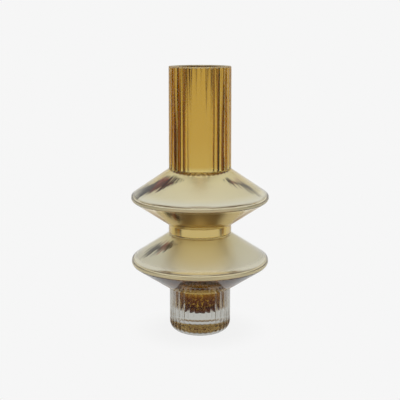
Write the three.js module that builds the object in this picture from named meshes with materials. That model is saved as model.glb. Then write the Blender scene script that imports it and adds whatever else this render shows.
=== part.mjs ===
// A tall flower vase of clear glass with a gold mirror lining: a fluted neck, two wide discs with
// a plain collar between them, and a solid fluted foot with a round pocket in its top.
// Each glass section is turned about the Z axis, stands on the flat end of the section below, and
// holds its own thin lining. Lengths are in millimetres, +Z is up and the origin is under the foot.
import * as THREE from 'three'
import { mergeVertices } from 'three/addons/utils/BufferGeometryUtils.js'

// Heights of the five sections, from the table up
const footHeight = 59.5
const lowerDiscHeight = 73
const collarHeight = 12.3
const upperDiscHeight = 73.3
const neckHeight = 131.9

// Foot
const footRadius = 40.4
const baseRound = 13
const pocketRadius = 20
const pocketFloor = 27
const pocketRound = 14

// Discs: the rim height is measured from the disc's own lower end
const lowerRimRadius = 90.2
const lowerRimHeight = 37
const lowerRimRound = 7.5
const upperRimRadius = 90
const upperRimHeight = 36.4
const upperRimRound = 6.3

// Collar, neck and mouth
const collarRadius = 41.2
const neckRadius = 40.6
const mouthRadius = 40.1
const mouthRound = 1
const collarWall = 7
const neckWall = 6.6

// Inside of the discs: glass left at the rim, how round the hollow is there, and the short
// straight throat between each flat end and the sloping inner wall
const rimGlass = 6.2
const hollowRound = 1.5
const throatHeight = 1.6

// Flutes: rounded reeds that run up the neck and the foot, with a sharp groove between two
const fluteCount = 36
const fluteDepth = 1
const neckTurnDegrees = 2.5

// Linings
const liningGap = 0.3
const liningWall = 0.8
const liningBelowMouth = 1.5

// Facets of the turned shapes
const stepsPerFlute = 4
const plainFacets = 60
const rimSteps = 4
const hollowSteps = 3
const baseSteps = 4
const pocketSteps = 4
const lipSteps = 2
const sameVertex = 1e-5

const collarBore = collarRadius - collarWall
const neckBore = neckRadius - neckWall
const footTop = footHeight
const lowerDiscTop = footTop + lowerDiscHeight
const collarTop = lowerDiscTop + collarHeight
const upperDiscTop = collarTop + upperDiscHeight
const mouthTop = upperDiscTop + neckHeight

const at = (radius, height) => new THREE.Vector2(radius, height)

// Points on a round of the given radius, from one angle to the other
function arc(centre, radius, fromAngle, toAngle, steps) {
  const points = []
  for (let i = 0; i <= steps; i++) {
    const angle = THREE.MathUtils.lerp(fromAngle, toAngle, i / steps)
    points.push(at(centre.x + radius * Math.cos(angle), centre.y + radius * Math.sin(angle)))
  }
  return points
}

// The angle on a round at which a straight line from a corner runs into it; side is -1 where the
// line passes under the round and 1 where it passes over it
function touchAngle(corner, centre, radius, side) {
  const toCorner = corner.clone().sub(centre)
  return toCorner.angle() - side * Math.acos(radius / toCorner.length())
}

// A sloping side up to a rounded rim and back in to a corner above it
function rimSide(lowCorner, highCorner, rimRadius, rimHeight, round, steps) {
  const centre = at(rimRadius - round, rimHeight)
  const lowAngle = touchAngle(lowCorner, centre, round, -1) - 2 * Math.PI
  const highAngle = touchAngle(highCorner, centre, round, 1)
  return [lowCorner, ...arc(centre, round, lowAngle, highAngle, steps), highCorner]
}

// The wall of a disc's hollow, with a short straight throat at each end
function hollowSide(low, high, lowBore, highBore, rimRadius, rimHeight) {
  const lowCorner = at(lowBore, low + throatHeight)
  const highCorner = at(highBore, high - throatHeight)
  const side = rimSide(lowCorner, highCorner, rimRadius - rimGlass, rimHeight, hollowRound, hollowSteps)
  return [at(lowBore, low), ...side, at(highBore, high)]
}

// A path moved towards the hollow by a distance, with its joints mitred
function inset(path, distance) {
  const normals = path.slice(1).map((point, i) => {
    const along = point.clone().sub(path[i]).normalize()
    return at(-along.y, along.x)
  })
  return path.map((point, i) => {
    const before = normals[Math.max(i - 1, 0)]
    const after = normals[Math.min(i, normals.length - 1)]
    const mitre = before.clone().add(after).normalize()
    return point.clone().addScaledVector(mitre, distance / mitre.dot(after))
  })
}

// Turns a closed outline about Z; grooves gives each point's groove depth, 0 where it is plain
function turned(outline, facets, grooves = outline.map(() => 0)) {
  const geometry = new THREE.LatheGeometry(outline, facets)
  const position = geometry.attributes.position
  for (let i = 0; i < position.count; i++) {
    const step = Math.floor(i / outline.length)
    const acrossFlute = 2 * (((step / facets) * fluteCount) % 1) - 1
    const radius = outline[i % outline.length].x
    if (radius > 0) {
      const scale = (radius - grooves[i % outline.length] * acrossFlute ** 2) / radius
      position.setX(i, position.getX(i) * scale)
      position.setZ(i, position.getZ(i) * scale)
    }
  }
  geometry.rotateX(Math.PI / 2)
  geometry.deleteAttribute('normal')
  geometry.deleteAttribute('uv')
  const merged = mergeVertices(geometry, sameVertex)
  merged.computeVertexNormals()
  return merged
}

// A thin shell that follows the wall it lines, from a path that runs upwards
function liningShell(wallPath) {
  const outside = inset(wallPath, liningGap)
  const inside = inset(wallPath, liningGap + liningWall).reverse()
  return turned([...outside, ...inside, outside[0]], plainFacets)
}

const clearGlass = () => new THREE.MeshStandardMaterial({
  color: 0xe9ece6, roughness: 0.03, metalness: 0, transparent: true, opacity: 0.35,
})
const lustre = (color) => new THREE.MeshStandardMaterial({ color, roughness: 0.15, metalness: 1 })

const vase = new THREE.Group()

function addPiece(name, geometry, material) {
  const mesh = new THREE.Mesh(geometry, material)
  mesh.name = name
  vase.add(mesh)
  return mesh
}

// Wall paths that the glass and its lining share, each from its lower end to its upper end
function pocketPath() {
  const centre = at(pocketRadius - pocketRound, pocketFloor + pocketRound)
  const round = arc(centre, pocketRound, -Math.PI / 2, 0, pocketSteps)
  return [at(0, pocketFloor), ...round, at(pocketRadius, footTop)]
}

function lowerDiscPath() {
  const rimAt = footTop + lowerRimHeight
  return hollowSide(footTop, lowerDiscTop, pocketRadius, collarBore, lowerRimRadius, rimAt)
}

function collarPath() {
  return [at(collarBore, lowerDiscTop), at(collarBore, collarTop)]
}

function upperDiscPath() {
  const rimAt = collarTop + upperRimHeight
  return hollowSide(collarTop, upperDiscTop, collarBore, neckBore, upperRimRadius, rimAt)
}

function neckPath() {
  return [at(neckBore, upperDiscTop), at(neckBore, mouthTop - liningBelowMouth)]
}

// The solid foot: flutes that fade out round the base, and the pocket sunk into its top
function footGlass() {
  const centre = at(footRadius - baseRound, baseRound)
  const base = arc(centre, baseRound, -Math.PI / 2, 0, baseSteps)
  const outside = [at(0, 0), ...base, at(footRadius, footTop)]
  const inside = pocketPath().reverse()
  const grooves = outside.map((point) => fluteDepth * Math.min(point.y / baseRound, 1))
  return turned([...outside, ...inside], fluteCount * stepsPerFlute, [...grooves, ...inside.map(() => 0)])
}

// A disc: two sloping sides that meet in a rounded rim, hollow right through
function discGlass(lowCorner, highCorner, rimRadius, rimHeight, round, wallPath) {
  const outside = rimSide(lowCorner, highCorner, rimRadius, rimHeight, round, rimSteps)
  return turned([...outside, ...wallPath.reverse(), lowCorner], plainFacets)
}

function lowerDiscGlass() {
  const low = at(footRadius, footTop)
  const high = at(collarRadius, lowerDiscTop)
  return discGlass(low, high, lowerRimRadius, footTop + lowerRimHeight, lowerRimRound, lowerDiscPath())
}

function upperDiscGlass() {
  const low = at(collarRadius, collarTop)
  const high = at(neckRadius, upperDiscTop)
  return discGlass(low, high, upperRimRadius, collarTop + upperRimHeight, upperRimRound, upperDiscPath())
}

// The plain ring between the discs
function collarGlass() {
  const low = at(collarRadius, lowerDiscTop)
  const outside = [low, at(collarRadius, collarTop)]
  return turned([...outside, ...collarPath().reverse(), low], plainFacets)
}

// The neck: a slightly tapered fluted tube with a softened outer edge at the mouth
function neckGlass() {
  const foot = at(neckRadius, upperDiscTop)
  const lipCentre = at(mouthRadius - mouthRound, mouthTop - mouthRound)
  const outside = [foot, ...arc(lipCentre, mouthRound, 0, Math.PI / 2, lipSteps)]
  const inside = [at(neckBore, mouthTop), at(neckBore, upperDiscTop)]
  const outline = [...outside, ...inside, foot]
  const grooves = outline.map((point) => (point.x > lipCentre.x ? fluteDepth : 0))
  return turned(outline, fluteCount * stepsPerFlute, grooves)
}

addPiece('foot', footGlass(), clearGlass())
addPiece('lower_disc', lowerDiscGlass(), clearGlass())
addPiece('collar', collarGlass(), clearGlass())
addPiece('upper_disc', upperDiscGlass(), clearGlass())
addPiece('neck', neckGlass(), clearGlass()).rotation.z = THREE.MathUtils.degToRad(neckTurnDegrees)

addPiece('foot_lining', liningShell(pocketPath()), lustre(0x8a5a18))
addPiece('lower_disc_lining', liningShell(lowerDiscPath()), lustre(0xc8b88c))
addPiece('collar_lining', liningShell(collarPath()), lustre(0xc4a866))
addPiece('upper_disc_lining', liningShell(upperDiscPath()), lustre(0xcdc09c))
addPiece('neck_lining', liningShell(neckPath()), lustre(0xbd9645))

export default vase
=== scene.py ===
import bmesh
import bpy
import collections
import math
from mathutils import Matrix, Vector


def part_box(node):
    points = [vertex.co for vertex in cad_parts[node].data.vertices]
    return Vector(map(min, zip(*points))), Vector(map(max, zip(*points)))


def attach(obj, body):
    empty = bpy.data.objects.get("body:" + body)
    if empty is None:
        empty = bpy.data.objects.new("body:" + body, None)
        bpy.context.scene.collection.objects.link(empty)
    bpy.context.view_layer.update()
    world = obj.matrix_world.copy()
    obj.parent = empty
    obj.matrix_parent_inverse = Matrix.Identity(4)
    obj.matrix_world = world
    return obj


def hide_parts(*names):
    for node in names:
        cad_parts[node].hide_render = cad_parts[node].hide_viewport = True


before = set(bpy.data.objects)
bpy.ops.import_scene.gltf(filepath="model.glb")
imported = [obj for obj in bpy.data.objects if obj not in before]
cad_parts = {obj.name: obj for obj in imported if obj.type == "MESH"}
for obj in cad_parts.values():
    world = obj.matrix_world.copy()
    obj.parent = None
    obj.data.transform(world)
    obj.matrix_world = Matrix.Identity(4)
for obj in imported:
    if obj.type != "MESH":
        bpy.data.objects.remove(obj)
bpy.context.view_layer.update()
bpy.ops.object.select_all(action="DESELECT")


# Camera: a long lens a little above the vase and pitched down, at the photograph's viewing angle.
# Its distance, height, pitch and focal length come from fitting the vase's outline to the picture.
camera_distance = 1.1059
camera_height = 0.3897
camera_pitch = 0.1907
focal_pixels = 859.13
picture_pixels = 400

bpy.ops.object.camera_add(
    location=(0, -camera_distance, camera_height), rotation=(math.pi / 2 - camera_pitch, 0, 0)
)
camera = bpy.context.object
camera.name = "studio_camera"
camera.data.sensor_width = 36
camera.data.lens = focal_pixels * camera.data.sensor_width / picture_pixels
bpy.context.scene.camera = camera


# Foot: a solid cylinder of clear glass, pressed in a mould that leaves thirty-six rounded reeds up
# its side and fades them out round the base. The pocket for the stem ends is sunk into its top, and
# the amber lustre of its lining is fired onto the pocket's wall, with painted shade towards the
# pocket's floor and painted golden glints.
mm = 0.001
foot_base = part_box("foot")[0].z
foot_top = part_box("foot")[1].z
foot_radius = 40.4 * mm
base_round = 13 * mm
pocket_radius = 20 * mm
pocket_floor = 27 * mm
pocket_round = 14 * mm
reeds = 36
reed_sides = 12
reed_depth = 1 * mm
round_steps = 12
same_place = 1e-6
weld_reach = 1e-5
crease = math.radians(28)
OPEN_GLASS, JOINT, LUSTRED = range(3)


class Ring:
    """A ring of edges about the vase's axis. Each draw() pulls it on and leaves a wall behind it."""

    def __init__(self, radius, height, turn=0):
        self.radius = radius
        self.height = height
        self.turn = turn
        self.groove = 0
        sides = reeds * reed_sides
        bpy.ops.mesh.primitive_circle_add(vertices=sides, radius=radius, location=(0, 0, height))
        bpy.ops.object.transform_apply(location=True, rotation=False, scale=False)
        bpy.ops.object.mode_set(mode="EDIT")
        bpy.ops.mesh.select_all(action="SELECT")

    def close(self):
        """Fills the ring with a flat face and keeps the ring in hand."""
        bpy.ops.mesh.edge_face_add()
        mesh = bmesh.from_edit_mesh(bpy.context.edit_object.data)
        edges = [edge for face in mesh.faces if face.select for edge in face.edges]
        bpy.ops.mesh.select_all(action="DESELECT")
        for edge in edges:
            edge.select_set(True)
        bmesh.update_edit_mesh(bpy.context.edit_object.data)

    def draw(self, radius, height, groove=0):
        """Pulls the ring on to another radius and height, with grooves of this depth in it."""
        bpy.ops.mesh.extrude_edges_move(TRANSFORM_OT_translate={"value": (0, 0, height - self.height)})
        share = radius / self.radius
        bpy.ops.transform.resize(value=(share, share, 1), center_override=(0, 0, height))
        self.radius = radius
        self.height = height
        self.groove *= share
        if abs(groove - self.groove) > same_place:
            self.press(groove)

    def press(self, groove):
        """Presses grooves into the ring. Each reed is a flat arch, and a groove is where two meet."""
        mesh = bmesh.from_edit_mesh(bpy.context.edit_object.data)
        ring = [vert for vert in mesh.verts if vert.select]
        by_distance = {}
        for vert in ring:
            angle = math.atan2(vert.co.x, -vert.co.y) - self.turn
            place = round(angle / math.tau * reeds * reed_sides) % reed_sides
            by_distance.setdefault(abs(2 * place / reed_sides - 1), []).append(vert)
        for distance, verts in by_distance.items():
            before = self.radius - self.groove * distance**2
            share = (self.radius - groove * distance**2) / before
            take(mesh, verts)
            bpy.ops.transform.resize(value=(share, share, 1), center_override=(0, 0, self.height))
        take(mesh, ring)
        self.groove = groove


def take(mesh, verts):
    """Selects these vertices and the edges between them, and nothing else."""
    bpy.ops.mesh.select_all(action="DESELECT")
    for vert in verts:
        vert.select_set(True)
    mesh.select_flush_mode()
    bmesh.update_edit_mesh(bpy.context.edit_object.data)


def finish_shape(name):
    """Welds where the wall meets itself, turns its faces outwards and shades all but creases smooth."""
    bpy.ops.mesh.select_all(action="SELECT")
    bpy.ops.mesh.remove_doubles(threshold=weld_reach)
    bpy.ops.mesh.normals_make_consistent(inside=False)
    bpy.ops.object.mode_set(mode="OBJECT")
    bpy.ops.object.shade_smooth_by_angle(angle=crease)
    piece = bpy.context.object
    piece.name = name
    piece.select_set(False)
    return piece


def round_points(centre, rounding, first_angle, last_angle):
    """Radius and height of points on a round, from one angle to the other."""
    points = []
    for step in range(round_steps + 1):
        angle = first_angle + (last_angle - first_angle) * step / round_steps
        points.append((centre[0] + rounding * math.cos(angle), centre[1] + rounding * math.sin(angle)))
    return points


def dress(piece, finishes, choose=lambda face: OPEN_GLASS):
    """Gives the piece its finishes, and each face the one that choose() picks for it."""
    for finish in finishes:
        piece.data.materials.append(finish)
    for face in piece.data.polygons:
        face.material_index = choose(face)


def srgb(red, green, blue):
    """A shader's colour from the numbers that a colour picker shows."""
    shares = [value / 255 for value in (red, green, blue)]
    linear = [share / 12.92 if share <= 0.04045 else ((share + 0.055) / 1.055) ** 2.4 for share in shares]
    return (*linear, 1)


class Signal:
    """One output of a node. Arithmetic on it adds the Math nodes that work the sum out."""

    def __init__(self, tree, socket):
        self.tree = tree
        self.socket = socket

    def output(self, name):
        return Signal(self.tree, self.socket.node.outputs[name])

    def math(self, operation, *values):
        return add_node(self.tree, "ShaderNodeMath", {"operation": operation}, dict(enumerate(values)))

    def __add__(self, other):
        return self.math("ADD", self, other)

    def __sub__(self, other):
        return self.math("SUBTRACT", self, other)

    def __rsub__(self, other):
        return self.math("SUBTRACT", other, self)

    def __mul__(self, other):
        return self.math("MULTIPLY", self, other)

    def __truediv__(self, other):
        return self.math("DIVIDE", self, other)

    def __pow__(self, other):
        return self.math("POWER", self, other)

    def __abs__(self):
        return self.math("ABSOLUTE", self)

    __radd__ = __add__
    __rmul__ = __mul__


def add_node(tree, kind, settings=None, sockets=None):
    """Adds a node, first its settings and then the values or links of its sockets."""
    node = tree.nodes.new(kind)
    for name, value in (settings or {}).items():
        if name == "stops":
            set_stops(node.color_ramp.elements, value)
        else:
            setattr(node, name, value)
    for name, value in (sockets or {}).items():
        if isinstance(value, Signal):
            tree.links.new(value.socket, node.inputs[name])
        else:
            node.inputs[name].default_value = value
    return Signal(tree, node.outputs[0] if node.outputs else None)


def set_stops(elements, stops):
    """Gives a colour ramp these positions and colours."""
    while len(elements) < len(stops):
        elements.new(1)
    for element, (position, colour) in zip(elements, stops):
        element.position = position
        element.color = colour


def new_finish(name):
    """A material with nothing in it yet."""
    finish = bpy.data.materials.new(name)
    finish.use_nodes = True
    finish.node_tree.nodes.clear()
    return finish


def show(tree, surface):
    """Makes this shader the material's surface."""
    add_node(tree, "ShaderNodeOutputMaterial", None, {"Surface": surface})


Place = collections.namedtuple("Place", "radius height right back")


def place_on_vase(tree):
    """Radius and height on the vase, and the shares of the radius that go right and back."""
    place = add_node(tree, "ShaderNodeTexCoord").output("Object")
    parts = add_node(tree, "ShaderNodeSeparateXYZ", None, {0: place})
    x, y, z = (parts.output(axis) for axis in "XYZ")
    radius = (x * x + y * y) ** 0.5 + same_place
    return Place(radius=radius, height=z, right=x / radius, back=y / radius)


streak_roughness = 0.6


def streaks(tree, place, round_scale, along_scale, detail):
    """Noise that changes fast round the vase and slowly along its wall, or the other way about."""
    spot = {
        0: place.right * round_scale,
        1: place.back * round_scale,
        2: (place.height - place.radius) * along_scale,
    }
    vector = add_node(tree, "ShaderNodeCombineXYZ", None, spot)
    noise = {"Vector": vector, "Scale": 1, "Detail": detail, "Roughness": streak_roughness}
    return add_node(tree, "ShaderNodeTexNoise", None, noise)


def ease(tree, value, low, high, to_low=0, to_high=1):
    """Eases a value from one range into another and holds it there."""
    sockets = {"Value": value, "From Min": low, "From Max": high, "To Min": to_low, "To Max": to_high}
    return add_node(tree, "ShaderNodeMapRange", {"interpolation_type": "SMOOTHSTEP"}, sockets)


def blend_colours(tree, share, first, second):
    """The first colour where the share is 0 and the second where it is 1."""
    colours = {"Factor": share, 6: first, 7: second}
    return add_node(tree, "ShaderNodeMix", {"data_type": "RGBA"}, colours).output(2)


glass_bend = 1.5
glass_sheen = (0.45, 0.45, 0.45, 1)
thin_glass = srgb(253, 253, 250)
wave_detail = 2


def clear_glass(name, round_scale, along_scale, wave, tint=thin_glass, coat=None):
    """Clear glass, polished by fire, with the faint waves that the tools leave.

    coat adds what lies on the glass in some places. It gets the place and the glass's shader.
    """
    finish = new_finish(name)
    tree = finish.node_tree
    place = place_on_vase(tree)
    waves = streaks(tree, place, round_scale, along_scale, wave_detail)
    bump = add_node(tree, "ShaderNodeBump", None, {"Strength": 1, "Distance": wave, "Height": waves})
    glass = {
        "Base Color": tint,
        "Roughness": 0,
        "IOR": glass_bend,
        "Transmission Weight": 1,
        "Specular Tint": glass_sheen,
        "Normal": bump,
    }
    shader = add_node(tree, "ShaderNodeBsdfPrincipled", None, glass)
    if coat:
        shader = coat(tree, place, shader)
    for_shadows = add_node(tree, "ShaderNodeLightPath").output("Is Shadow Ray")
    see_through = add_node(tree, "ShaderNodeBsdfTransparent")
    show(tree, add_node(tree, "ShaderNodeMixShader", None, {0: for_shadows, 1: shader, 2: see_through}))
    return finish


def clear_joint():
    """The clear bond between two glass sections, which light passes as if it weren't there."""
    finish = new_finish("clear_joint")
    show(finish.node_tree, add_node(finish.node_tree, "ShaderNodeBsdfTransparent"))
    return finish


grain_detail = 5
grain_spread = (0.3, 0.7)


def lustre(name, tones, round_scale, along_scale, roughness, ripple, satin=None):
    """A metallic lustre fired onto glass, in streaks of colour and gloss.

    satin is the height where it begins to be less glossy, the height where it is satin all
    through, and how much roughness that adds.
    """
    finish = new_finish(name)
    tree = finish.node_tree
    place = place_on_vase(tree)
    grain = streaks(tree, place, round_scale, along_scale, grain_detail)
    gloss = ease(tree, grain, *grain_spread, *roughness)
    if satin:
        begins, full, added = satin
        gloss = gloss + ease(tree, place.height, begins, full, 0, added)
    ripples = {"Strength": 1, "Distance": ripple, "Height": grain}
    metal = {
        "Base Color": tones(tree, place, grain),
        "Metallic": 1,
        "Roughness": gloss,
        "Normal": add_node(tree, "ShaderNodeBump", None, ripples),
    }
    show(tree, add_node(tree, "ShaderNodeBsdfPrincipled", None, metal))
    return finish


def tones_by_height(low, high, colours, wander):
    """Colours that follow each other up the wall, pushed up and down a little by the lustre's grain."""

    def tones(tree, place, grain):
        share = (place.height - low) / (high - low) + (grain - 0.5) * wander
        return add_node(tree, "ShaderNodeValToRGB", {"stops": colours}, {0: share})

    return tones


joint = clear_joint()
# The amber darkens towards the pocket's floor: painted shade deep in the pocket.
pocket_colours_and_shade = [
    # share of the way up the pocket, colour of its lustre
    (0.0, srgb(96, 44, 6)),
    (0.25, srgb(84, 34, 2)),
    (0.45, srgb(92, 42, 3)),
    (0.65, srgb(112, 58, 2)),
    (0.85, srgb(158, 102, 14)),
    (0.93, srgb(228, 192, 104)),
]
pocket_tones = tones_by_height(pocket_floor, foot_top, pocket_colours_and_shade, wander=0.25)
# Painted glints: small golden highlights painted into the pocket's amber.
glint_gold = srgb(220, 174, 62)
glint_edge = (0.55, 0.66)
glint_strength = 0.7
glints_begin = pocket_floor + 2 * mm
glints_full = pocket_floor + 14 * mm


def amber_tones(tree, place, grain):
    """The amber of the pocket with its painted shade, and small painted golden glints above its floor."""
    glint_noise = streaks(tree, place, round_scale=22, along_scale=420, detail=1)
    high_up = ease(tree, place.height, glints_begin, glints_full)
    glints = ease(tree, glint_noise, *glint_edge) * high_up * glint_strength
    return blend_colours(tree, glints, pocket_tones(tree, place, grain), glint_gold)


amber_lustre = lustre(
    "amber_lustre", amber_tones, round_scale=30, along_scale=300, roughness=(0.05, 0.12), ripple=0.1 * mm
)


def foot_face(face):
    """Says for each face of the foot if it is a joint, the pocket's wall or open glass."""
    if face.center.z > foot_top - same_place:
        return JOINT
    within = math.hypot(face.center.x, face.center.y) < pocket_radius + same_place
    in_pocket = within and face.center.z > pocket_floor - same_place
    return LUSTRED if in_pocket else OPEN_GLASS


pocket_bowl_centre = (pocket_radius - pocket_round, pocket_floor + pocket_round)
pocket_wall = round_points(pocket_bowl_centre, pocket_round, -math.pi / 2, 0)
pocket_wall.append((pocket_radius, foot_top))
base_centre = (foot_radius - base_round, foot_base + base_round)

wall = Ring(base_centre[0], foot_base)
wall.close()
for radius, height in round_points(base_centre, base_round, -math.pi / 2, 0)[1:]:
    wall.draw(radius, height, reed_depth * (height - foot_base) / base_round)
wall.draw(foot_radius, foot_top, reed_depth)
for radius, height in reversed(pocket_wall):
    wall.draw(radius, height)
wall.close()
foot = finish_shape("foot_glass")
thick_glass = srgb(207, 207, 202)
foot_glass = clear_glass(
    "foot_glass_finish", round_scale=3, along_scale=40, wave=0.02 * mm, tint=thick_glass
)
dress(foot, [foot_glass, joint, amber_lustre], foot_face)
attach(foot, "root")
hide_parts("foot")


# Foot lining: the inner face of the amber lustre, a thin shell that follows the pocket's wall and is
# seen from the mouth. It is fused to the glass, so only a hair's breadth of clear bond is between.
lining_gap = 0.3 * mm
lining_wall = 0.8 * mm


def finish_lining(name):
    """Shrinks the drawn wall clear of the glass, gives it its thickness inwards and names it."""
    bpy.ops.mesh.select_all(action="SELECT")
    bpy.ops.mesh.normals_make_consistent(inside=False)
    bpy.ops.transform.shrink_fatten(value=-lining_gap, use_even_offset=True)
    bpy.ops.object.mode_set(mode="OBJECT")
    shell = bpy.context.object.modifiers.new("wall", "SOLIDIFY")
    shell.thickness = lining_wall
    shell.offset = -1
    shell.use_even_offset = True
    bpy.ops.object.modifier_apply(modifier=shell.name)
    bpy.ops.object.mode_set(mode="EDIT")
    return finish_shape(name)


def draw_lining(name, wall, finish, node, closed=False):
    """Turns a lining along its wall, closed at its start or not, in the place of its CAD node."""
    ring = Ring(*wall[0])
    if closed:
        ring.close()
    for radius, height in wall[1:]:
        ring.draw(radius, height)
    piece = finish_lining(name)
    dress(piece, [finish])
    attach(piece, "root")
    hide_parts(node)


draw_lining(
    "foot_lining_lustre", pocket_wall, amber_lustre, "foot_lining", closed=True
)


# Lower disc: a hollow body of clear glass, two straight cones that meet in a rounded rim. Its ends
# are ground flat and bonded to the foot below and the collar above. A champagne lustre is fired onto
# its inner wall, with painted shade under the rim and a dark feathered mark that is a painted
# reflection of the room, and a breath of it has settled under the rim outside.
disc_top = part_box("lower_disc")[1].z
collar_radius = 41.2 * mm
collar_bore = 34.2 * mm
lower_rim_radius = 90.2 * mm
lower_rim_height = foot_top + 37 * mm
lower_rim_round = 7.5 * mm
rim_glass = 6.2 * mm
hollow_round = 1.5 * mm
throat = 1.6 * mm
reed_fillet = 2.4 * mm
reed_fillet_end = 1.5 * reed_fillet


def rim_side(low, high, rim_radius, rim_height, rounding):
    """Points of a side that slopes out to a rounded rim and back in, between two corners."""
    centre = (rim_radius - rounding, rim_height)
    touches = []
    for corner, turn in ((low, 1), (high, -1)):
        across, up = corner[0] - centre[0], corner[1] - centre[1]
        touches.append(math.atan2(up, across) + turn * math.acos(rounding / math.hypot(across, up)))
    return [low, *round_points(centre, rounding, *touches), high]


def hollow_side(low, high, rim_radius, rim_height):
    """Points of a disc's inner wall, with its short straight throat at each end."""
    low_throat = (low[0], low[1] + throat)
    high_throat = (high[0], high[1] - throat)
    side = rim_side(low_throat, high_throat, rim_radius - rim_glass, rim_height, hollow_round)
    return [low, *side, high]


def between(start, end, distance):
    """The point on a straight line that lies a distance from its start."""
    share = distance / math.dist(start, end)
    return tuple(a + (b - a) * share for a, b in zip(start, end))


def draw_disc(outer, inner, low_groove=0, high_groove=0, turn=0):
    """Turns a disc's two walls. Next to a reeded section its corner takes the reeds' outline."""
    wall = Ring(*outer[0], turn)
    wall.press(low_groove)
    for distance in (reed_fillet, reed_fillet_end):
        wall.draw(*between(outer[0], outer[1], distance))
    for radius, height in outer[1:-1]:
        wall.draw(radius, height)
    for distance in (reed_fillet_end, reed_fillet):
        wall.draw(*between(outer[-1], outer[-2], distance))
    wall.draw(*outer[-1], high_groove)
    for radius, height in reversed(inner):
        wall.draw(radius, height)
    wall.draw(*outer[0], low_groove)


def section_face(low, high, lined_to):
    """Says for each face of a section if it is open glass, a joint, or the wall under the lustre."""

    def choose(face):
        if any(abs(face.center.z - end) < same_place for end in (low, high)):
            return JOINT
        faces_axis = face.normal.x * face.center.x + face.normal.y * face.center.y < 0
        return LUSTRED if faces_axis and face.center.z < lined_to else OPEN_GLASS

    return choose


lower_outer = rim_side(
    low=(foot_radius, foot_top),
    high=(collar_radius, disc_top),
    rim_radius=lower_rim_radius,
    rim_height=lower_rim_height,
    rounding=lower_rim_round,
)
lower_hollow = hollow_side(
    (pocket_radius, foot_top), (collar_bore, disc_top), lower_rim_radius, lower_rim_height
)

# The feathered marks are painted reflections of dark things in the room, laid into the lustre's colour.
mark_hairs = {"round_scale": 30, "along_scale": 9, "detail": 5}
mark_hair_spread = (0.38, 0.62)
mark_ragged_side = 11 * mm
mark_ragged_end = 0.3
mark_taper = 0.35
mark_narrow_end = 0.6
mark_soft_side = 0.82
mark_soft_start = 0.06
mark_soft_end = 0.8
mark_ink_wander = 0.4
painted_reflection_colours = [
    # share of the way along the mark, colour
    (0.0, srgb(42, 28, 18)),
    (0.2, srgb(44, 30, 20)),
    (0.28, srgb(186, 104, 72)),
    (0.34, srgb(186, 104, 72)),
    (0.4, srgb(78, 54, 42)),
    (0.5, srgb(86, 80, 74)),
    (0.75, srgb(112, 107, 97)),
    (0.95, srgb(156, 151, 138)),
]


def tones_with_painted_reflections(base, reflections):
    """Paints dark reflections onto a lustre: straight strokes, seen from above, with ragged sides."""

    def tones(tree, place, grain):
        hairs = ease(tree, streaks(tree, place, **mark_hairs), *mark_hair_spread)
        colour = base(tree, place, grain)
        for start, end, half_width, cover, above in reflections:
            length = math.dist(start, end)
            run, rise = ((b - a) / length for a, b in zip(start, end))
            right = place.radius * place.right - start[0]
            back = place.radius * place.back - start[1]
            along = (right * run + back * rise) / length + (hairs - 0.5) * mark_ragged_end
            across = abs(back * run - right * rise) + (hairs - 0.5) * mark_ragged_side
            spread = ease(tree, along, 0, mark_taper, mark_narrow_end, 1) * half_width
            stroke = ease(tree, across / spread, mark_soft_side, 1, 1, 0)
            stroke = stroke * ease(tree, along, 0, mark_soft_start)
            stroke = stroke * ease(tree, along, mark_soft_end, 1, 1, 0)
            stroke = stroke * place.height.math("GREATER_THAN", place.height, above) * cover
            ink_place = along + (grain - 0.5) * mark_ink_wander
            ink = add_node(tree, "ShaderNodeValToRGB", {"stops": painted_reflection_colours}, {0: ink_place})
            colour = blend_colours(tree, stroke, colour, ink)
        return colour

    return tones


lower_painted_reflections = [
    # start and end, half width, cover, the height that it lies above
    ((-30 * mm, -35 * mm), (-70 * mm, -17 * mm), 8 * mm, 0.9, lower_rim_height),
]
# Darker below the rim: painted shade on the underside. Warmer towards the collar: a painted reflection of
# the collar and the disc above.
lower_colours_with_painted_light = [
    # share of the way up the disc, colour of its lustre
    (0.0, srgb(227, 198, 127)),
    (0.1, srgb(222, 190, 118)),
    (0.13, srgb(172, 140, 81)),
    (0.42, srgb(172, 140, 81)),
    (0.45, srgb(248, 236, 196)),
    (0.5, srgb(252, 244, 214)),
    (0.52, srgb(255, 250, 230)),
    (0.6, srgb(255, 250, 226)),
    (0.8, srgb(255, 249, 218)),
    (1.0, srgb(255, 244, 192)),
]
disc_wander = 0.03
disc_grain = {"round_scale": 60, "along_scale": 20, "roughness": (0.03, 0.07), "ripple": 0.004 * mm}
satin_fade = 6 * mm
lower_satin = lower_rim_height - 1 * mm
lower_tones = tones_by_height(foot_top, disc_top, lower_colours_with_painted_light, disc_wander)
lower_lustre = lustre(
    "lower_disc_lustre",
    tones_with_painted_reflections(lower_tones, lower_painted_reflections),
    **disc_grain,
    satin=(lower_satin, lower_satin + satin_fade, 0.26),
)

haze_tone = srgb(238, 226, 184)
haze_roughness = 0.35
haze_reach = 1.9 * mm
haze_fade = 1.2 * mm
haze_share = 0.62
haze_above = 0.35


def rim_haze(rim_radius, rim_height):
    """A breath of lustre on the glass: most under the rim, a little over it and none further in."""

    def coat(tree, place, glass):
        inner, low, high = rim_radius - haze_reach, rim_height - haze_fade, rim_height + haze_fade
        share = ease(tree, place.radius, inner, inner + haze_fade, 0, haze_share)
        share = share * ease(tree, place.height, low, high, 1, haze_above)
        breath = {"Base Color": haze_tone, "Metallic": 1, "Roughness": haze_roughness}
        haze = add_node(tree, "ShaderNodeBsdfPrincipled", None, breath)
        return add_node(tree, "ShaderNodeMixShader", None, {0: share, 1: glass, 2: haze})

    return coat


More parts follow.
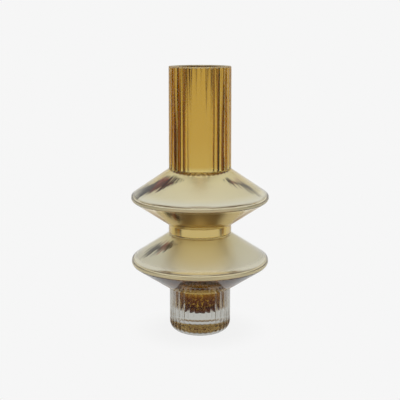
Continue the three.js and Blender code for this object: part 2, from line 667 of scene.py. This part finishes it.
draw_disc(lower_outer, lower_hollow, low_groove=reed_depth)
lower_disc = finish_shape("lower_disc_glass")
disc_waves = {"round_scale": 2, "along_scale": 30, "wave": 0.02 * mm}
lower_glass = clear_glass(
    "lower_disc_glass_finish", **disc_waves, coat=rim_haze(lower_rim_radius, lower_rim_height)
)
dress(lower_disc, [lower_glass, joint, lower_lustre], section_face(foot_top, disc_top, disc_top))
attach(lower_disc, "root")
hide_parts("lower_disc")


# Lower disc lining: the inner face of the champagne lustre, a thin shell that follows the hollow. It
# is fused to the glass all over and is open to the foot below and the collar above.
draw_lining("lower_disc_lining_lustre", lower_hollow, lower_lustre, "lower_disc_lining")


# Collar: a plain ring of clear glass between the discs, ground flat at both ends and bonded to both.
# A pale gold lustre is fired onto its bore.
collar_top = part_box("collar")[1].z
collar_wall = [(collar_bore, disc_top), (collar_bore, collar_top)]


def grained(first, second):
    """Two close tones that change with the lustre's grain."""

    def tones(tree, place, grain):
        return blend_colours(tree, grain, first, second)

    return tones


collar_lustre = lustre(
    "collar_lustre",
    grained(srgb(218, 192, 122), srgb(224, 199, 131)),
    round_scale=30,
    along_scale=60,
    roughness=(0.05, 0.12),
    ripple=0.05 * mm,
)

wall = Ring(collar_radius, disc_top)
wall.draw(collar_radius, collar_top)
for radius, height in reversed(collar_wall):
    wall.draw(radius, height)
wall.draw(collar_radius, disc_top)
collar = finish_shape("collar_glass")
collar_glass = clear_glass("collar_glass_finish", round_scale=2, along_scale=40, wave=0.02 * mm)
dress(collar, [collar_glass, joint, collar_lustre], section_face(disc_top, collar_top, collar_top))
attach(collar, "root")
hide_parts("collar")


# Collar lining: the inner face of the collar's pale gold lustre, a short plain tube. It is fused to
# the collar's bore and ends flush with both discs.
draw_lining("collar_lining_lustre", collar_wall, collar_lustre, "collar_lining")


# Upper disc: the same kind of hollow glass body as the lower one, with a slightly sharper rim. Two
# feathered marks in its lustre are painted reflections of the room, and painted shade darkens it under
# the rim. It is bonded to the collar and carries the neck, so its upper edge takes the outline of the
# neck's reeds.
upper_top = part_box("upper_disc")[1].z
neck_radius = 40.6 * mm
neck_bore = 34 * mm
neck_turn = math.radians(2.5)
upper_rim_radius = 90 * mm
upper_rim_height = collar_top + 36.4 * mm
upper_rim_round = 6.3 * mm

upper_outer = rim_side(
    low=(collar_radius, collar_top),
    high=(neck_radius, upper_top),
    rim_radius=upper_rim_radius,
    rim_height=upper_rim_height,
    rounding=upper_rim_round,
)
upper_hollow = hollow_side(
    (collar_bore, collar_top), (neck_bore, upper_top), upper_rim_radius, upper_rim_height
)

upper_painted_reflections = [
    # start and end, half width, cover, the height that it lies above
    ((-26 * mm, -40 * mm), (-88 * mm, -14 * mm), 12 * mm, 1, upper_rim_height),
    ((29 * mm, -38 * mm), (72 * mm, -22 * mm), 6.5 * mm, 0.9, upper_rim_height),
]
# Darker below the rim: painted shade on the underside. Warmer towards the neck: a painted reflection of
# the gold neck.
upper_colours_with_painted_light = [
    # share of the way up the disc, colour of its lustre
    (0.0, srgb(235, 215, 170)),
    (0.1, srgb(235, 215, 170)),
    (0.13, srgb(232, 212, 168)),
    (0.42, srgb(232, 212, 168)),
    (0.44, srgb(252, 242, 210)),
    (0.49, srgb(254, 248, 228)),
    (0.52, srgb(255, 250, 228)),
    (0.6, srgb(254, 244, 206)),
    (0.8, srgb(255, 242, 194)),
    (1.0, srgb(255, 240, 176)),
]
upper_satin = upper_rim_height + 3 * mm
upper_tones = tones_by_height(collar_top, upper_top, upper_colours_with_painted_light, disc_wander)
upper_lustre = lustre(
    "upper_disc_lustre",
    tones_with_painted_reflections(upper_tones, upper_painted_reflections),
    **disc_grain,
    satin=(upper_satin, upper_satin + satin_fade, 0.14),
)

draw_disc(upper_outer, upper_hollow, high_groove=reed_depth, turn=neck_turn)
upper_disc = finish_shape("upper_disc_glass")
upper_glass = clear_glass(
    "upper_disc_glass_finish", **disc_waves, coat=rim_haze(upper_rim_radius, upper_rim_height)
)
dress(upper_disc, [upper_glass, joint, upper_lustre], section_face(collar_top, upper_top, upper_top))
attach(upper_disc, "root")
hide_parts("upper_disc")


# Upper disc lining: the inner face of the upper disc's champagne lustre, a thin shell that follows
# the hollow from the collar to the neck and is fused to its wall.
draw_lining("upper_disc_lining_lustre", upper_hollow, upper_lustre, "upper_disc_lining")


# Neck: a long tube of clear glass with the same thirty-six reeds as the foot, a little narrower at
# the mouth, where its edges are melted round. It is bonded to the upper disc. The gold lustre fired
# onto its bore goes up to the lip, where a paler, rougher lustre on the mouth's flat edge paints the
# highlight that edge catches.
mouth_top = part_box("neck")[1].z
mouth_radius = 40.1 * mm
lip_round = 1 * mm
lustre_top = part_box("neck_lining")[1].z
bore_lip = 0.4 * mm

neck_wall = [(neck_bore, upper_top), (neck_bore, lustre_top)]
# Paler at the neck's foot: a painted highlight where the reeds meet the disc.
neck_colours_and_highlight = [
    # share of the way up the neck, colour of its lustre
    (0.0, srgb(236, 216, 150)),
    (0.02, srgb(226, 200, 120)),
    (0.05, srgb(216, 180, 88)),
    (0.3, srgb(213, 173, 76)),
    (1.0, srgb(211, 168, 68)),
]
neck_tones = tones_by_height(upper_top, lustre_top, neck_colours_and_highlight, wander=0.02)
neck_lustre = lustre(
    "neck_lustre", neck_tones, round_scale=30, along_scale=4, roughness=(0.04, 0.1), ripple=0.1 * mm
)
# The lip's lustre is rough and scatters the light from above, and its pale cream paints the highlight on
# the mouth's edge.
lip_highlight_lustre = lustre(
    "lip_highlight_lustre",
    grained(srgb(246, 236, 200), srgb(250, 241, 212)),
    round_scale=30,
    along_scale=60,
    roughness=(0.5, 0.6),
    ripple=0.02 * mm,
)
LIP_HIGHLIGHT = LUSTRED + 1
below_lip = section_face(upper_top, upper_top, mouth_top)


def neck_face(face):
    """As elsewhere, but the mouth's inner edge and flat have the lip's pale lustre: a painted highlight.
    """
    within = math.hypot(face.center.x, face.center.y) < mouth_radius - lip_round
    return LIP_HIGHLIGHT if within and face.center.z > lustre_top else below_lip(face)


wall = Ring(neck_radius, upper_top, neck_turn)
wall.press(reed_depth)
lip_centre = (mouth_radius - lip_round, mouth_top - lip_round)
for radius, height in round_points(lip_centre, lip_round, 0, math.pi / 2):
    wall.draw(radius, height, reed_depth * (mouth_top - height) / lip_round)
wall.draw(neck_bore + bore_lip, mouth_top)
wall.draw(neck_bore, mouth_top - bore_lip)
for radius, height in reversed(neck_wall):
    wall.draw(radius, height)
wall.draw(neck_radius, upper_top, reed_depth)
neck = finish_shape("neck_glass")
neck_glass = clear_glass("neck_glass_finish", round_scale=6, along_scale=3, wave=0.03 * mm)
dress(neck, [neck_glass, joint, neck_lustre, lip_highlight_lustre], neck_face)
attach(neck, "root")
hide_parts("neck")


# Neck lining: the inner face of the gold lustre, a long thin tube fused to the neck's bore. It is
# what shows when one looks down into the mouth.
draw_lining("neck_lining_lustre", neck_wall, neck_lustre, "neck_lining")


# Floor: a plain pale table top in the backdrop's tone, with a faint shadow round the foot. A hair of
# air under the foot keeps its base a mirror, as under real glass. A brown place behind the vase, which
# only glass and lustre show, tones the foot's sides and draws the thin line across its clear part.
backdrop_tone = srgb(246, 246, 246)
mirrored_tone = srgb(225, 225, 223)
floor_paint = srgb(236, 236, 236)
floor_radius = 0.6
floor_sides = 128
air_under_foot = 0.2 * mm
shadow_share = 0.06
shadow_reach = 0.1
brown_begins = (95 * mm, 115 * mm)
brown_ends = (250 * mm, 400 * mm)
brown_side = (0.8, 0.97)
bands_begin = (130 * mm, 160 * mm)
band_edge = (0.42, 0.58)
near_brown = srgb(158, 130, 88)
dark_band = srgb(84, 50, 14)
light_band = srgb(140, 100, 48)

bpy.ops.mesh.primitive_circle_add(
    vertices=floor_sides,
    radius=floor_radius,
    fill_type="NGON",
    location=(0, 0, foot_base - air_under_foot),
)
bpy.ops.object.transform_apply(location=True, rotation=False, scale=False)
floor = bpy.context.object
floor.name = "studio_floor"
floor.select_set(False)
floor_finish = new_finish("floor_finish")
tree = floor_finish.node_tree
place = place_on_vase(tree)
paint = add_node(tree, "ShaderNodeBsdfDiffuse", None, {"Color": floor_paint})
light_path = add_node(tree, "ShaderNodeLightPath")
by_camera = light_path.output("Is Camera Ray")
glow_tone = blend_colours(tree, by_camera, mirrored_tone, backdrop_tone)
brown_share = ease(tree, place.radius, *brown_begins) * ease(tree, place.radius, *brown_ends, 1, 0)
brown_share = brown_share * ease(tree, place.back, *brown_side) * (1 - by_camera)
bands = ease(tree, streaks(tree, place, round_scale=45, along_scale=1, detail=2), *band_edge)
far_brown = blend_colours(tree, bands, dark_band, light_band)
brown = blend_colours(tree, ease(tree, place.radius, *bands_begin), near_brown, far_brown)
glow_tone = blend_colours(tree, brown_share, glow_tone, brown)
glow = add_node(tree, "ShaderNodeEmission", None, {"Color": glow_tone})
seen = by_camera + light_path.output("Is Glossy Ray")
seen = seen + light_path.output("Is Transmission Ray")
shadow = ease(tree, place.radius, foot_radius, shadow_reach, shadow_share, 0)
plain = seen.math("MINIMUM", seen, 1) * (1 - shadow)
show(tree, add_node(tree, "ShaderNodeMixShader", None, {0: plain, 1: paint, 2: glow}))
floor.data.materials.append(floor_finish)


# Studio light: a pale tent, open towards the camera, where the dark room shows. Dark and golden cards
# at its sides draw the lines in the neck and collar, a brown one behind tones the foot's base, and two
# pale ones in front light the upper disc's underside. The camera sees only the plain backdrop.
def grey(level):
    return (level, level, level, 1)


tent_edge = 0.3
behind = [
    # share of the way from straight down to straight up, tone
    (0.5, grey(0.75)),
    (0.56, grey(0.68)),
    (0.62, grey(0.62)),
]
ahead = [
    # the same at the opening towards the camera
    (0.522, grey(0.75)),
    (0.535, (0.09, 0.045, 0.015, 1)),
    (0.64, (0.08, 0.04, 0.015, 1)),
    (0.78, (0.08, 0.045, 0.02, 1)),
    (0.84, grey(0.7)),
    (0.92, grey(0.9)),
]
cards = [
    # azimuth from the back to the right, elevation, half width, half height, softness, tone
    (-78, -8, 19, 9, 3, srgb(150, 106, 20)),
    (-94, -8, 4.5, 9, 1, srgb(14, 5, 0)),
    (-69, -8, 7, 9, 2, srgb(48, 18, 0)),
    (88, -8, 5.5, 9, 1, srgb(12, 6, 0)),
    (75, -8, 7, 9, 2, srgb(124, 84, 26)),
    (0, 25, 24, 5, 2, srgb(74, 50, 20)),
    (180, 20, 50, 5, 3, srgb(196, 190, 172)),
    (180, 20, 16, 7.5, 1.5, srgb(255, 252, 240)),
]


def soft_edge(tree, away, half_size, softness):
    """1 on a card and 0 beside it, by how far away from its middle the direction is."""
    inner, outer = math.radians(half_size - softness), math.radians(half_size + softness)
    return ease(tree, away, inner, outer, 1, 0)


world = bpy.data.worlds.new("studio_world")
bpy.context.scene.world = world
world.use_nodes = True
tree = world.node_tree
tree.nodes.clear()
direction = add_node(tree, "ShaderNodeTexCoord").output("Generated")
parts = add_node(tree, "ShaderNodeSeparateXYZ", None, {0: direction})
right, back, up = (parts.output(axis) for axis in "XYZ")
elevation = up.math("ARCSINE", up)
share_up = elevation / math.pi + 0.5
back_tone = add_node(tree, "ShaderNodeValToRGB", {"stops": behind}, {0: share_up})
front_tone = add_node(tree, "ShaderNodeValToRGB", {"stops": ahead}, {0: share_up})
level_part = (right * right + back * back) ** 0.5 + same_place
tent = ease(tree, back / level_part, -tent_edge, tent_edge)
sky = blend_colours(tree, tent, front_tone, back_tone)
for azimuth, height, half_width, half_height, softness, tone in cards:
    turn = math.radians(azimuth)
    along = right * math.sin(turn) + back * math.cos(turn)
    across = right * math.cos(turn) - back * math.sin(turn)
    aside = abs(across.math("ARCTAN2", across, along))
    above = abs(elevation - math.radians(height))
    card = soft_edge(tree, aside, half_width, softness) * soft_edge(tree, above, half_height, softness)
    sky = blend_colours(tree, card, sky, tone)
room = add_node(tree, "ShaderNodeBackground", None, {"Color": sky, "Strength": 1})
backdrop = add_node(tree, "ShaderNodeBackground", None, {"Color": backdrop_tone, "Strength": 1})
is_camera = add_node(tree, "ShaderNodeLightPath").output("Is Camera Ray")
light = add_node(tree, "ShaderNodeMixShader", None, {0: is_camera, 1: room, 2: backdrop})
add_node(tree, "ShaderNodeOutputWorld", None, {"Surface": light})

# Light crosses many glass faces and meets the lustre again and again before it leaves the vase.
light_bounces = bpy.context.scene.cycles
light_bounces.max_bounces = 32
light_bounces.glossy_bounces = 16
light_bounces.transmission_bounces = 24

bpy.context.scene.view_settings.view_transform = "Standard"
